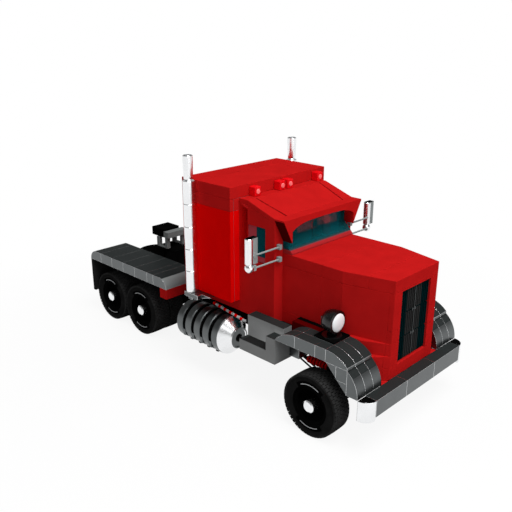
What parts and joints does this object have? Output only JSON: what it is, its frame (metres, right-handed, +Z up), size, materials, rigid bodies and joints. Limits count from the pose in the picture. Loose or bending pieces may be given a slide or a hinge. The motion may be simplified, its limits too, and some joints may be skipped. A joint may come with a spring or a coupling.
{
  "type": "toy semi truck tractor unit",
  "caption": "A long-nosed toy semi truck tractor built from moulded bricks on an eight millimetre grid, with a sleeper cab, steering front wheels and rolling wheels throughout.",
  "frame": {"origin": "Centre of the footprint at floor level, under the tyres", "axes": "+X forward, +Y the truck's left, +Z up"},
  "size_m": [0.296, 0.131, 0.1576],
  "materials": {
    "red_body": "glossy",
    "dark_red": "glossy",
    "chrome_plastic": "polished",
    "grey_plastic": "satin",
    "black_plastic": "satin",
    "smoked_glass": "glossy",
    "lamp_glass": "glossy",
    "red_glass": "glossy",
    "tyre_rubber": "matte"
  },
  "bodies": {
    "chassis": {"bumper": "chrome_plastic", "cab_floor": "black_plastic", "cab_front": "red_body", "cab_roof": "red_body", "cab_sides": "red_body", "dashboard": "grey_plastic", "exhausts": "chrome_plastic", "fifth_wheel": "black_plastic", "frame_rails": "black_plastic", "front_axle": "black_plastic", "front_fenders": "chrome_plastic", "front_shocks": "red_body", "fuel_tanks": "chrome_plastic", "grille": "black_plastic", "grille_surround": "red_body", "headlamp_housings": "black_plastic", "headlamp_lenses": "lamp_glass", "hitch_tower": "grey_plastic", "hood_sides": "red_body", "hood_top": "red_body", "marker_lamps": "red_glass", "mirrors": "grey_plastic", "mudflap": "black_plastic", "rear_axles": "black_plastic", "rear_deck": "black_plastic", "rear_fender": "chrome_plastic", "seats": "grey_plastic", "side_windows": "smoked_glass", "skirts": "red_body", "sleeper_back": "red_body", "sleeper_lintel": "red_body", "sleeper_posts": "red_body", "sleeper_roof": "dark_red", "sleeper_sides": "red_body", "step_boxes": "chrome_plastic", "sun_visor": "red_body", "tank_ends": "chrome_plastic", "tower_cap": "black_plastic", "windscreen": "smoked_glass"},
    "wheel_front_right": {"rim_front_right": "black_plastic", "tyre_front_right": "tyre_rubber"},
    "wheel_front_left": {"rim_front_left": "black_plastic", "tyre_front_left": "tyre_rubber"},
    "wheel_mid_right": {"rim_mid_right": "black_plastic", "tyre_mid_right": "tyre_rubber"},
    "wheel_mid_left": {"rim_mid_left": "black_plastic", "tyre_mid_left": "tyre_rubber"},
    "wheel_rear_right": {"rim_rear_right": "black_plastic", "tyre_rear_right": "tyre_rubber"},
    "wheel_rear_left": {"rim_rear_left": "black_plastic", "tyre_rear_left": "tyre_rubber"},
    "steering_knuckle_right": {"knuckle_right": "black_plastic"},
    "steering_knuckle_left": {"knuckle_left": "black_plastic"}
  },
  "joints": [
    {"name": "steer_right", "type": "hinge", "parent": "chassis", "child": "steering_knuckle_right", "pos_m": [0.108, -0.038, 0.0206], "axis": [0, 0, 1], "range_deg": [-22, 22]},
    {"name": "roll_front_right", "type": "hinge", "parent": "steering_knuckle_right", "child": "wheel_front_right", "pos_m": [0.108, -0.053, 0.0206], "axis": [0, 1, 0], "continuous": true},
    {"name": "steer_left", "type": "hinge", "parent": "chassis", "child": "steering_knuckle_left", "pos_m": [0.108, 0.038, 0.0206], "axis": [0, 0, 1], "range_deg": [-22, 22]},
    {"name": "roll_front_left", "type": "hinge", "parent": "steering_knuckle_left", "child": "wheel_front_left", "pos_m": [0.108, 0.053, 0.0206], "axis": [0, 1, 0], "continuous": true},
    {"name": "roll_mid_right", "type": "hinge", "parent": "chassis", "child": "wheel_mid_right", "pos_m": [-0.0814, -0.0355, 0.0206], "axis": [0, 1, 0], "continuous": true},
    {"name": "roll_mid_left", "type": "hinge", "parent": "chassis", "child": "wheel_mid_left", "pos_m": [-0.0814, 0.0355, 0.0206], "axis": [0, 1, 0], "continuous": true},
    {"name": "roll_rear_right", "type": "hinge", "parent": "chassis", "child": "wheel_rear_right", "pos_m": [-0.1234, -0.0355, 0.0206], "axis": [0, 1, 0], "continuous": true},
    {"name": "roll_rear_left", "type": "hinge", "parent": "chassis", "child": "wheel_rear_left", "pos_m": [-0.1234, 0.0355, 0.0206], "axis": [0, 1, 0], "continuous": true}
  ],
  "couplings": [
    {"joint": "steer_left", "follows": "steer_right", "ratio": 1}
  ]
}
